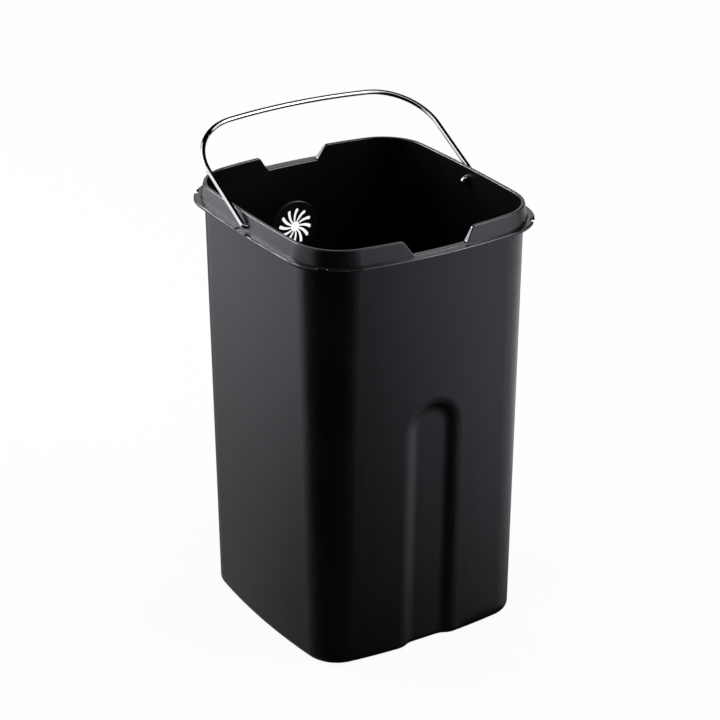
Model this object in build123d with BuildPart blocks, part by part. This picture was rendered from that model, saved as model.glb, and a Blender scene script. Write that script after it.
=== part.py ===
"""Inner bucket of a waste bin, with a wire bail handle and a disc that a bag's corner is tucked into.

Millimetres. +Z is up, the front with the arched recess faces -Y, the handle pivots about X, and the
origin is the middle of the bucket's foot.
"""
import os
from math import atan2, cos, degrees, radians, sin, sqrt

from build123d import *

# Bucket body, outside sizes at the foot and under the flange
foot_width = 193.2
foot_depth = 196.6
foot_side_arc = 620.0
foot_face_arc = 500.0
foot_corner = 28.0
foot_edge = 5.0
top_width = 198.8
top_depth = 214.6
top_side_arc = 1400.0
top_face_arc = 400.0
top_corner = 38.7
wall = 2.2
floor_thickness = 2.6

# Flange that hangs in the outer bin, and the collar that stands on it
flange_top = 340.0
flange_thickness = 2.2
flange_reach = 8.5
flange_edge = 1.0
collar_height = 12.0
collar_foot = 3.2
collar_rim = 0.6
rim_edge = 0.9

# Finger notches in the front and back of the collar
notch_floor_width = 46.4
notch_mouth_width = 61.2
notch_lift = 0.6
notch_floor_round = 2.5
notch_mouth_round = 4.0

# Slots in the corners of the flange
slot_width = 8.0
slot_depth = 2.4
slot_round = 1.0

# Arched recess up the front wall
recess_floor_width = 29.4
recess_apex = 206.6
recess_depth = 4.4
recess_flank = 60.0
recess_floor_round = 14.0
recess_mouth_round = 17.0

# Wire bail handle, measured along the middle of its wire
wire = 4.0
bail_reach = 109.7
bail_corner = 47.0
bar_arc = 600.0
bail_lean = 62.0
bend_inside = 1.2
hook_length = 7.0
hook_clearance = 0.2
wire_end_round = 0.8

# Pivot holes in the collar, and the shallow pockets under them in the flange
pivot_web = 0.55
pivot_mouth = 0.8
pivot_clearance = 0.05
pocket_length = 20.0
pocket_depth = 0.6
pocket_setback = 0.4

# Bag-tuck disc in the back wall, with curved fingers round an open hub
disc_drop = 52.0
disc_diameter = 43.0
disc_lap = 3.0
disc_thickness = 1.8
disc_edge = 0.5
disc_clearance = 0.2
seat_depth = 0.3
finger_count = 12
finger_thickness = 1.0
hub_diameter = 8.0
swirl_margin = 1.7
swirl_lead = 5.0
swirl_turn = 8.5
gap_at_hub = 1.6
gap_at_tip = 3.2
lug_count = 4
lug_arc = 50.0
lug_wall = 1.3
lug_clearance = 0.15
barb_reach = 0.7
barb_height = 1.0
barb_clearance = 0.1

# Places worked out from the sizes above
body_top = flange_top - flange_thickness
rim_height = flange_top + collar_height
draft = atan2((top_depth - foot_depth) / 2, body_top)
overrun = 20.0

# Pivot axis, and how far out the bail's arms and hooks stand so that its bends clear the holes
pivot_radius = wire / 2 + pivot_clearance
pivot_lift = pivot_web + pivot_mouth + pivot_radius
pivot_height = flange_top + pivot_lift
collar_at_pivot = collar_foot + (collar_rim - collar_foot) * pivot_lift / collar_height
bend = bend_inside + wire / 2
arm_x = top_width / 2 + collar_at_pivot - pivot_mouth + bend + pivot_clearance
hook_x = top_width / 2 - wall - hook_clearance - bend


def outline(height, width, depth, side_arc, face_arc, corner, grow):
    """A level outline of four bowed sides and four round corners, grown outward by an offset."""
    side_middle = width / 2 - side_arc
    face_middle = depth / 2 - face_arc
    with BuildSketch(Plane.XY.offset(height)) as sketch:
        with Locations(Location((side_middle, 0), 180)):
            Circle(side_arc + grow)
        with Locations((-side_middle, 0)):
            Circle(side_arc + grow, mode=Mode.INTERSECT)
        with Locations((0, face_middle)):
            Circle(face_arc + grow, mode=Mode.INTERSECT)
        with Locations((0, -face_middle)):
            Circle(face_arc + grow, mode=Mode.INTERSECT)
        fillet(sketch.vertices(), radius=corner + grow)
    return sketch.sketch


def foot_outline(height, grow=0.0):
    return outline(height, foot_width, foot_depth, foot_side_arc, foot_face_arc, foot_corner, grow)


def top_outline(height, grow=0.0):
    return outline(height, top_width, top_depth, top_side_arc, top_face_arc, top_corner, grow)


def recess(grow=0.0):
    """The arched channel in the front wall, as a solid that reaches out past the wall."""
    flank = radians(recess_flank)
    half_floor = recess_floor_width / 2 + grow * (1 - sin(flank)) / cos(flank)
    outward = Vector(0, -cos(draft), -sin(draft))
    floor_middle = Vector(0, -foot_depth / 2, 0) - outward * (recess_depth + grow)
    arch_middle = recess_apex - recess_floor_width / 2
    with BuildPart() as channel:
        with BuildSketch(Plane(floor_middle, x_dir=(1, 0, 0), z_dir=outward)):
            with Locations((0, arch_middle)):
                Circle(half_floor)
                Rectangle(2 * half_floor, arch_middle + overrun, align=(Align.CENTER, Align.MAX))
        extrude(amount=recess_depth + grow + overrun, taper=-recess_flank)
        floor = channel.faces().sort_by(Axis.Y)[-1]
        fillet(floor.edges().filter_by_position(Axis.Z, 0, recess_apex), recess_floor_round + grow)
    return channel.part


# Where the disc seats: a flat let into the inside of the back wall, square to the wall's slope
disc_height = flange_top - disc_drop
lug_radius = disc_diameter / 2 - disc_lap
inner_run = (disc_height - floor_thickness) / (flange_top - floor_thickness)
inner_back = foot_depth / 2 - wall + (top_depth - foot_depth) / 2 * inner_run
inward = Vector(0, -cos(draft), sin(draft))
seat = Plane(Vector(0, inner_back, disc_height) - inward * seat_depth, x_dir=(1, 0, 0), z_dir=inward)

# Inside of the bucket: the tapered body less the back of the recess, and the upright collar
with BuildPart() as cavity:
    loft([foot_outline(floor_thickness, -wall), top_outline(flange_top, -wall)])
    fillet(cavity.faces().sort_by(Axis.Z)[0].edges(), radius=foot_edge - wall)
    add(recess(wall), mode=Mode.SUBTRACT)
    extrude(top_outline(flange_top, -wall), amount=collar_height)

# Bucket: one moulded shell
with BuildPart() as bucket:
    loft([foot_outline(0), top_outline(body_top)])
    add(recess(), mode=Mode.SUBTRACT)
    front = bucket.faces().sort_by(Axis.Y)[0]
    mouth = front.edges().filter_by_position(Axis.X, -recess_floor_width, recess_floor_width)
    mouth = mouth.filter_by_position(Axis.Z, 0, body_top, inclusive=(False, False))
    fillet(mouth, radius=recess_mouth_round)
    fillet(bucket.faces().sort_by(Axis.Z)[0].edges(), radius=foot_edge)

    flange_outline = top_outline(body_top, flange_reach)
    extrude(flange_outline, amount=flange_thickness)
    corners = flange_outline.edges().sort_by(lambda edge: edge.radius)[:4]
    for corner in corners:
        outward = corner @ 0.5 - corner.arc_center
        with BuildSketch(Plane(corner @ 0.5, x_dir=outward, z_dir=(0, 0, 1))):
            RectangleRounded(2 * slot_depth, slot_width, slot_round)
        extrude(amount=flange_thickness, mode=Mode.SUBTRACT)
    flange_face = bucket.faces().sort_by(Axis.Z)[-1]
    fillet(flange_face.edges(), radius=flange_edge)

    loft([top_outline(flange_top, collar_foot), top_outline(rim_height, collar_rim)])
    add(cavity.part, mode=Mode.SUBTRACT)

    notch_floor = flange_top + notch_lift
    notch_slope = (notch_mouth_width - notch_floor_width) / 2 / (rim_height - notch_floor)
    half_top = notch_floor_width / 2 + notch_slope * (rim_height + overrun - notch_floor)
    with BuildSketch(Plane.XZ) as notch:
        with BuildLine():
            Polyline(
                (-half_top, rim_height + overrun),
                (-notch_floor_width / 2, notch_floor),
                (notch_floor_width / 2, notch_floor),
                (half_top, rim_height + overrun),
                close=True,
            )
        make_face()
        fillet(notch.vertices().group_by(Axis.Y)[0], radius=notch_floor_round)
    extrude(amount=top_depth, both=True, mode=Mode.SUBTRACT)
    rim = bucket.faces().filter_by(Plane.XY).group_by(Axis.Z)[-1]
    fillet(rim.edges().filter_by(Axis.Y), radius=notch_mouth_round)

    with Locations((0, 0, pivot_height)):
        Cylinder(pivot_radius, top_width + overrun, rotation=(0, 90, 0), mode=Mode.SUBTRACT)
    bores = bucket.edges(Select.LAST).sort_by(Axis.X)
    chamfer([bores[0], bores[-1]], length=pivot_mouth)
    for side in (-1, 1):
        pocket_x = side * (top_width / 2 + collar_foot + pocket_setback)
        with Locations((pocket_x, 0, flange_top)):
            Box(
                2 * flange_reach,
                pocket_length,
                pocket_depth,
                align=(Align.MAX if side < 0 else Align.MIN, Align.CENTER, Align.MAX),
                mode=Mode.SUBTRACT,
            )

    with Locations(seat):
        Cylinder(
            disc_diameter / 2 + disc_clearance,
            overrun,
            align=(Align.CENTER, Align.CENTER, Align.MIN),
            mode=Mode.SUBTRACT,
        )
        Cylinder(lug_radius + lug_clearance, overrun, mode=Mode.SUBTRACT)

    rim = bucket.faces().filter_by(Plane.XY).group_by(Axis.Z)[-1]
    fillet(rim.edges().filter_by(GeomType.LINE, reverse=True), radius=rim_edge)

# Bail: one bent wire, with its ends hooked inside the collar; drawn as one half and mirrored
lean = Plane(
    (0, 0, pivot_height),
    x_dir=(1, 0, 0),
    z_dir=(0, -cos(radians(bail_lean)), sin(radians(bail_lean))),
)
bar_middle = bail_reach - bar_arc
corner_x = arm_x - bail_corner
corner_y = bar_middle + sqrt((bar_arc - bail_corner) ** 2 - corner_x**2)
corner_turn = degrees(atan2(corner_y - bar_middle, corner_x))
with BuildPart() as bail_handle:
    with BuildLine(lean) as loop:
        CenterArc((0, bar_middle), bar_arc, 90, corner_turn - 90)
        CenterArc((corner_x, corner_y), bail_corner, corner_turn, -corner_turn)
        Line((arm_x, corner_y), (arm_x, bend))
        CenterArc((arm_x - bend, bend), bend, 0, -90)
        Line((arm_x - bend, 0), (hook_x + bend, 0))
    with BuildLine(Plane(lean.origin, x_dir=(1, 0, 0), z_dir=(0, -1, 0))) as hook:
        CenterArc((hook_x + bend, -bend), bend, 90, 90)
        Line((hook_x, -bend), (hook_x, -hook_length))
    path = Wire(loop.edges() + hook.edges())
    with BuildSketch(Plane(path @ 0, z_dir=path % 0)):
        Circle(wire / 2)
    sweep(path=path)
    fillet(bail_handle.faces().filter_by(Plane.XY).sort_by(Axis.Z)[0].edges(), radius=wire_end_round)
    mirror(about=Plane.YZ)

# Lug of the disc: hooks behind the wall with a barb
outer_back = foot_depth / 2 + (top_depth - foot_depth) / 2 * disc_height / body_top
barb_face = outer_back - inner_back - seat_depth + barb_clearance
with BuildPart() as lug:
    with BuildSketch(Plane.XZ):
        with BuildLine():
            Polyline(
                (lug_radius - lug_wall, 0),
                (lug_radius, 0),
                (lug_radius, -barb_face),
                (lug_radius + barb_reach, -barb_face),
                (lug_radius, -barb_face - barb_height),
                (lug_radius - lug_wall, -barb_face - barb_height),
                close=True,
            )
        make_face()
    revolve(axis=Axis.Z, revolution_arc=lug_arc)


def swirl_point(radius, turn, gap, side):
    """A point on one side of the first gap between fingers, turned about the hub."""
    angle = radians(90 - turn) + side * gap / 2 / radius
    return (radius * cos(angle), radius * sin(angle))


# Gap between two fingers of the disc, from the hub out to its round tip
hub_radius = hub_diameter / 2
tip_radius = lug_radius - lug_wall - swirl_margin - gap_at_tip / 2
middle_radius = (hub_radius + tip_radius) / 2
gap_at_middle = (gap_at_hub + gap_at_tip) / 2
with BuildSketch() as finger_gap:
    with BuildLine():
        left, right = [
            ThreePointArc(
                swirl_point(hub_radius, -swirl_lead, gap_at_hub, side),
                swirl_point(middle_radius, 0, gap_at_middle, side),
                swirl_point(tip_radius, swirl_turn, gap_at_tip, side),
            )
            for side in (1, -1)
        ]
        Line(left @ 0, right @ 0)
        RadiusArc(left @ 1, right @ 1, gap_at_tip / 2)
    make_face()

# Disc: a soft piece let into the wall, with curved fingers that grip the bag
with BuildPart(seat) as bag_tuck_disc:
    Cylinder(disc_diameter / 2, disc_thickness, align=(Align.CENTER, Align.CENTER, Align.MIN))
    fillet(bag_tuck_disc.edges().sort_by(Axis.Y)[0], radius=disc_edge)
    Cylinder(
        lug_radius - lug_wall,
        disc_thickness - finger_thickness,
        align=(Align.CENTER, Align.CENTER, Align.MIN),
        mode=Mode.SUBTRACT,
    )
    with PolarLocations(0, lug_count, start_angle=-lug_arc / 2):
        add(lug.part)
    with BuildSketch(seat):
        Circle(hub_radius)
        with PolarLocations(0, finger_count):
            add(finger_gap.sketch)
    extrude(amount=disc_thickness, mode=Mode.SUBTRACT)

os.makedirs("parts", exist_ok=True)
for piece, name in ((bucket, "bucket"), (bail_handle, "bail_handle"), (bag_tuck_disc, "bag_tuck_disc")):
    piece.part.label = name
    export_step(piece.part, f"parts/{name}.step")
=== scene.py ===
from math import cos, radians, sin

import bpy
from mathutils import Matrix, Vector


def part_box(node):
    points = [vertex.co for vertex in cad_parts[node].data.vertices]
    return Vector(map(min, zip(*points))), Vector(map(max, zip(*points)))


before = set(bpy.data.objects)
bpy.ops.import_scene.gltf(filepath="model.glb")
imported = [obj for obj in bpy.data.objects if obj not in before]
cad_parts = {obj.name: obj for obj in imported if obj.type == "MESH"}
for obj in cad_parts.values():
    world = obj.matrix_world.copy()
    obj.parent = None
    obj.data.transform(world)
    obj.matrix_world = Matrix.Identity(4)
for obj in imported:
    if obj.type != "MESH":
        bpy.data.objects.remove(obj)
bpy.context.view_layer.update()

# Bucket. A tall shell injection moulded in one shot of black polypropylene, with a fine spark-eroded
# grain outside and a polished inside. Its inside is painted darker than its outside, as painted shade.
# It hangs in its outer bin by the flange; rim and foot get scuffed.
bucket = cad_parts["bucket"]
bucket_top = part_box("bucket")[1].z
grain_size = 0.0007
cloud_size = 0.05
drag_width = 0.004
drag_stretch = (1, 1, 40)
speckle_size = 0.0025
foot_scuff_height = 0.002
rim_scuff_height = 0.0012
polished_roughness = 0.25
black_plastic = (0.0010, 0.0010, 0.0013, 1)
faded_plastic = (0.0016, 0.0016, 0.0020, 1)
scuffed_plastic = (0.0100, 0.0100, 0.0110, 1)
inside_painted_shade = (0.0006, 0.0006, 0.0007, 1)


class Shade:
    """A socket of a material that takes part in Python expressions, where each operator adds a node."""

    def __init__(self, tree, socket=None):
        self.tree = tree
        self.socket = socket

    def node(self, kind, settings, inputs, output=0):
        """Adds any node: first its settings, then the values or links of its sockets."""
        made = self.tree.nodes.new(kind)
        for name, value in settings.items():
            setattr(made, name, value)
        for name, value in inputs.items():
            if isinstance(value, Shade):
                self.tree.links.new(value.socket, made.inputs[name])
            else:
                made.inputs[name].default_value = value
        return Shade(self.tree, made.outputs[output])

    def math(self, operation, first, second):
        return self.node("ShaderNodeMath", {"operation": operation}, {0: first, 1: second})

    def __add__(self, other):
        return self.math("ADD", self, other)

    def __sub__(self, other):
        return self.math("SUBTRACT", self, other)

    def __rsub__(self, other):
        return self.math("SUBTRACT", other, self)

    def __mul__(self, other):
        return self.math("MULTIPLY", self, other)

    __radd__ = __add__
    __rmul__ = __mul__

    def ease(self, low, high):
        """0 where the value is under low, 1 where it is over high, and a smooth rise between."""
        ends = {"Value": self, "From Min": low, "From Max": high}
        return self.node("ShaderNodeMapRange", {"interpolation_type": "SMOOTHSTEP"}, ends)

    def blend(self, first, second):
        """The first colour where the value is 0, the second where it is 1."""
        colours = {"Factor": self, 6: first, 7: second}
        return self.node("ShaderNodeMix", {"data_type": "RGBA"}, colours, 2)

    def noise(self, size, detail, stretch=(1, 1, 1)):
        """A cloudy value round 0.5, with lumps of about the given size in metres."""
        scale = {0: self, 1: tuple(1 / size / part for part in stretch)}
        place = self.node("ShaderNodeVectorMath", {"operation": "MULTIPLY"}, scale)
        return self.node("ShaderNodeTexNoise", {}, {"Vector": place, "Scale": 1, "Detail": detail})

    def feed(self, shader, name):
        self.tree.links.new(self.socket, shader.inputs[name])


def new_finish(name):
    """A material with its shader, and the place on the piece that its patterns start from."""
    material = bpy.data.materials.new(name)
    material.use_nodes = True
    shader = material.node_tree.nodes["Principled BSDF"]
    place = Shade(material.node_tree).node("ShaderNodeTexCoord", {}, {}, "Object")
    return material, shader, place


def dress(piece, material):
    """Gives a piece its finish, and the even shading of a moulded or drawn surface."""
    piece.data.materials.clear()
    piece.data.materials.append(material)
    piece.data.shade_smooth()
    piece.data.set_sharp_from_angle(angle=radians(35))
    normals = piece.modifiers.new("even_shading", "WEIGHTED_NORMAL")
    normals.keep_sharp = True


plastic, shader, place = new_finish("bucket_plastic")
shader.inputs["IOR"].default_value = 1.52
# Painted light: the faint blue of the specular tint stands in for the cool tint of the studio light.
shader.inputs["Specular Tint"].default_value = (0.88, 0.88, 1, 1)
height = place.node("ShaderNodeSeparateXYZ", {}, {0: place}, "Z")
facing = place.node("ShaderNodeTexCoord", {}, {}, "Normal")
level = place.node("ShaderNodeVectorMath", {"operation": "MULTIPLY"}, {0: place, 1: (1, 1, 0)})
both_ways = {0: facing, 1: level}
outward = place.node("ShaderNodeVectorMath", {"operation": "DOT_PRODUCT"}, both_ways, "Value")
outside = outward.ease(-0.02, 0.005)
clouds = place.noise(cloud_size, 3)
drag = place.noise(drag_width, 4, drag_stretch).ease(0.58, 0.75) * outside
speckle = place.noise(speckle_size, 4).ease(0.45, 0.7)
foot_scuff = 1 - height.ease(0, foot_scuff_height)
rim_scuff = height.ease(bucket_top - rim_scuff_height, bucket_top)
scuff = (foot_scuff + rim_scuff) * speckle
colour = clouds.ease(0.35, 0.7).blend(black_plastic, faded_plastic)
# Painted shade: the inside takes a darker colour than the outside.
colour = outside.blend(inside_painted_shade, colour)
(scuff * 0.6 + drag * 0.12).blend(colour, scuffed_plastic).feed(shader, "Base Color")
roughness = polished_roughness + outside * 0.02 + clouds * 0.06 + drag * 0.05 + scuff * 0.1
roughness.feed(shader, "Roughness")
relief = {"Strength": 0.12, "Distance": grain_size / 10, "Height": place.noise(grain_size, 2) * outside}
place.node("ShaderNodeBump", {}, relief).feed(shader, "Normal")
dress(bucket, plastic)

# Bag-tuck disc. A soft black plastic moulding that snaps into a round hole in the back wall; a corner
# of the bag is pushed through the gaps between its curved fingers, which grip it.
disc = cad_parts["bag_tuck_disc"]
black_rubber = (0.0008, 0.0008, 0.0009, 1)
dusty_rubber = (0.0014, 0.0014, 0.0015, 1)
dust_size = 0.008
disc_grain_size = 0.0005
soft_plastic, shader, place = new_finish("disc_plastic")
dust = place.noise(dust_size, 3)
dust.ease(0.4, 0.75).blend(black_rubber, dusty_rubber).feed(shader, "Base Color")
(0.28 + dust * 0.12).feed(shader, "Roughness")
relief = {"Strength": 0.15, "Distance": disc_grain_size / 10, "Height": place.noise(disc_grain_size, 2)}
place.node("ShaderNodeBump", {}, relief).feed(shader, "Normal")
dress(disc, soft_plastic)

# Bail handle. One length of 4 mm steel wire, bent cold and chrome plated, with both ends hooked
# through the pivot holes of the collar.
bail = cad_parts["bail_handle"]
bright_chrome = (0.80, 0.81, 0.83, 1)
smoky_chrome = (0.66, 0.67, 0.69, 1)
smudge_size = 0.012
pit_size = 0.0006
ripple_size = 0.002
ripple_depth = 0.00002
chrome, shader, place = new_finish("bail_chrome")
shader.inputs["Metallic"].default_value = 1
smudge = place.noise(smudge_size, 4).ease(0.45, 0.75)
pits = place.noise(pit_size, 3).ease(0.62, 0.8)
(smudge * 0.5 + pits * 0.3).blend(bright_chrome, smoky_chrome).feed(shader, "Base Color")
(0.05 + smudge * 0.06 + pits * 0.08).feed(shader, "Roughness")
relief = {"Strength": 0.05, "Distance": ripple_depth, "Height": place.noise(ripple_size, 3)}
place.node("ShaderNodeBump", {}, relief).feed(shader, "Normal")
dress(bail, chrome)

# Floor. A plain white studio sheet, wide enough to fill the view. It shows white and keeps the soft
# shadow under the object. In reflections the graded card of the next section stands in for it.
floor_reach = 6.0
floor_glow_share = 0.92
floor_white = (0.9, 0.9, 0.9, 1)


def stage_card(name, points, faces, material):
    """A piece of the stage, from its points and faces."""
    mesh = bpy.data.meshes.new(name)
    mesh.from_pydata(points, [], faces)
    mesh.materials.append(material)
    card = bpy.data.objects.new(name, mesh)
    bpy.context.scene.collection.objects.link(card)
    return card


def level_sheet(name, reach, height, material):
    """A flat square of the stage, centred under the object."""
    corners = [(-reach, -reach), (reach, -reach), (reach, reach), (-reach, reach)]
    return stage_card(name, [(x, y, height) for x, y in corners], [(0, 1, 2, 3)], material)


def shown_white(tree):
    """1 for what the camera sees, straight or in a reflection, and 0 for what lights the object."""
    paths = Shade(tree)
    seen = paths.node("ShaderNodeLightPath", {}, {}, "Is Camera Ray")
    mirrored = paths.node("ShaderNodeLightPath", {}, {}, "Is Glossy Ray")
    through = paths.node("ShaderNodeLightPath", {}, {}, "Is Transmission Ray")
    return seen + mirrored + through


def add_glow(shader, place, share, colour, strength):
    """Makes a material of the stage shine by itself, over the share of it that is given."""
    glow = place.node("ShaderNodeEmission", {}, {"Color": colour, "Strength": strength})
    layers = {"Fac": share, 1: Shade(place.tree, shader.outputs[0]), 2: glow}
    place.node("ShaderNodeMixShader", {}, layers).feed(place.tree.nodes["Material Output"], "Surface")


white_sheet, shader, place = new_finish("white_sheet")
shader.inputs["Base Color"].default_value = floor_white
shader.inputs["Roughness"].default_value = 0.9
shader.inputs["Specular IOR Level"].default_value = 0
add_glow(shader, place, shown_white(place.tree) * floor_glow_share, (1, 1, 1, 1), 1)
floor = level_sheet("floor", floor_reach, 0, white_sheet)
floor.visible_glossy = False

# Mirrored sheet. A card below the floor line that stands in for the floor in reflections. It glows
# with painted pools of light where the soft boxes would light it, and holds painted shade before the
# near corner and under the object.
card_reach = 3.0
card_drop = 0.2
card_white = (0.98, 0.975, 1.02, 1)
card_strength = 1.03
front_level = 0.8
left_low_level = 0.28
left_rise = 0.9
back_level = 0.4


def reflections_only(piece):
    """Hides a card of the stage from everything but reflections."""
    piece.visible_camera = False
    piece.visible_diffuse = False
    piece.visible_shadow = False
    piece.visible_transmission = False


painted_light_card, shader, place = new_finish("painted_light_card")
shader.inputs["Base Color"].default_value = (0, 0, 0, 1)
shader.inputs["Specular IOR Level"].default_value = 0
across = place.node("ShaderNodeSeparateXYZ", {}, {0: place}, "X")
along = place.node("ShaderNodeSeparateXYZ", {}, {0: place}, "Y")
# Each pool of light is bounded by slanting lines on the card, in metres from the object's middle.
front_edge = (across - along * 0.82).ease(0.375, 0.43)
front_pool = front_edge * (across - along * 0.243).ease(0.08, 1.07) * front_level
left_edge = (along + across * 0.73).ease(-0.53, 0.22) * (1 - across.ease(-0.1, 0.1))
left_pool = left_edge * (left_low_level + (along - across * 2.09).ease(0.83, 3.27) * left_rise)
back_edge = along.ease(-0.05, 0.4) * across.ease(-0.1, 0.25)
back_pool = back_edge * back_level * (1 - (across * 0.53 + along * 0.85).ease(0.7, 1.1))
add_glow(shader, place, front_pool + left_pool + back_pool, card_white, card_strength)
reflections_only(level_sheet("mirrored_sheet", card_reach, -card_drop, painted_light_card))

# Dark hoods. Black cloths hung behind the object on the right, low before its near corner and high over
# it. They give the chrome its dark edges and keep the plastic's near corner black.
hood_radius = 2.2
hood_step = 5
black_cloth, shader, place = new_finish("black_cloth")
shader.inputs["Base Color"].default_value = (0, 0, 0, 1)
shader.inputs["Specular IOR Level"].default_value = 0


def way_out(bearing, rise):
    """The direction from the object to a bearing and a rise in degrees."""
    turn = radians(bearing)
    lift = radians(rise)
    return Vector((cos(lift) * cos(turn), cos(lift) * sin(turn), sin(lift)))


def dark_hood(name, first_bearing, last_bearing, low_rise, top_rise):
    """A black piece of a globe round the object, between two bearings and two rises."""
    bearings = range(first_bearing, last_bearing + 1, hood_step)
    rises = range(low_rise, top_rise + 1, hood_step)
    middle = Vector((0, 0, bucket_top))
    points = [way_out(bearing, rise) * hood_radius + middle for bearing in bearings for rise in rises]
    rows = len(rises)
    starts = [column * rows + row for column in range(len(bearings) - 1) for row in range(rows - 1)]
    faces = [(start, start + 1, start + rows + 1, start + rows) for start in starts]
    reflections_only(stage_card(name, points, faces, black_cloth))


dark_hood("back_right_hood", -15, 100, -10, 85)
dark_hood("front_left_hood", -175, -85, -10, 45)
dark_hood("top_hood", -180, 180, 60, 90)

# Contact strips. Two black cards on the floor along the front of the foot, which paint the contact
# shadow where no light gets under the edge of the bucket. They show only in reflections.
strip_height = 0.0006
strip_edge = [(0.040, -0.1070), (0.068, -0.1055), (0.086, -0.0975), (0.086, -0.0700), (0.040, -0.0700)]
for side in (-1, 1):
    points = [(side * x, y, strip_height) for x, y in strip_edge]
    reflections_only(stage_card("contact_shadow_strip", points, [(0, 1, 2, 3, 4)], black_cloth))

# Dark flag. A small black card close behind the disc, so that the polished inside of the bucket does
# not mirror the white that shows through the gaps.
flag_gap = 0.003
flag_inset = 0.003
flag_step = 15
disc_low, disc_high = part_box("bag_tuck_disc")
flag_middle = (disc_low + disc_high) / 2
flag_middle.y = disc_high.y + flag_gap
flag_radius = (disc_high.x - disc_low.x) / 2 - flag_inset
points = []
for angle in range(0, 360, flag_step):
    turn = radians(angle)
    points.append(flag_middle + Vector((flag_radius * cos(turn), 0, flag_radius * sin(turn))))
reflections_only(stage_card("dark_flag", points, [list(range(len(points)))], black_cloth))

# Studio light. A white tent round the object, a tall soft box at its back left and at its front right,
# and two strip lights and a broad weak box that show in the plastic only, so the wire keeps dark edges.
tent_level = 0.75
box_distance = 1.5
strip_distance = 1.45
world = bpy.data.worlds.new("white_tent")
bpy.context.scene.world = world
world.use_nodes = True
background = world.node_tree.nodes["Background"]
background.inputs["Color"].default_value = (1, 1, 1, 1)
(tent_level + shown_white(world.node_tree) * (1 - tent_level)).feed(background, "Strength")


def soft_box(name, bearing, rise, distance, width, height, power):
    """A lamp at a bearing and a rise from the object, turned towards it."""
    lamp = bpy.data.lights.new(name, "AREA")
    lamp.shape = "RECTANGLE"
    lamp.size = width
    lamp.size_y = height
    lamp.energy = power
    out = way_out(bearing, rise)
    stand = bpy.data.objects.new(name, lamp)
    stand.location = out * distance + Vector((0, 0, bucket_top))
    stand.rotation_euler = out.to_track_quat("Z", "Y").to_euler()
    stand.visible_camera = False
    bpy.context.scene.collection.objects.link(stand)
    return stand


soft_box("back_left_box", 124, 12, box_distance, 0.6, 0.9, 10)
soft_box("front_right_box", -48, 22, box_distance, 0.6, 1.0, 9)
plastic_pieces = bpy.data.collections.new("plastic_pieces")
plastic_pieces.objects.link(bucket)
plastic_pieces.objects.link(disc)
for lamp in (
    soft_box("back_left_strip", 119, 28, strip_distance, 0.5, 0.14, 13),
    soft_box("front_right_strip", -48, 40, strip_distance, 0.5, 0.14, 13),
    soft_box("back_box", 60, 25, strip_distance, 1.2, 0.8, 3),
):
    lamp.visible_diffuse = False
    lamp.light_linking.receiver_collection = plastic_pieces

# Camera. A long lens from the front left, looking down on the rim, where the outlines of the foot,
# flange and rim put it.
view_azimuth = radians(-31.9)
view_elevation = radians(24.54)
view_roll = radians(-0.075)
view_distance = 1.9543
view_aim = Vector((-0.0016, 0.0010, 0.2088))
camera = bpy.data.cameras.new("camera")
camera.sensor_width = 36
camera.lens = 123.46
swing = Matrix.Rotation(view_azimuth, 4, "Z") @ Matrix.Rotation(radians(90) - view_elevation, 4, "X")
view = swing @ Matrix.Rotation(view_roll, 4, "Z")
tripod = bpy.data.objects.new("camera", camera)
tripod.matrix_world = Matrix.Translation(view_aim + view.to_3x3() @ Vector((0, 0, view_distance))) @ view
bpy.context.scene.collection.objects.link(tripod)
bpy.context.scene.camera = tripod
bpy.context.scene.view_settings.view_transform = "Standard"
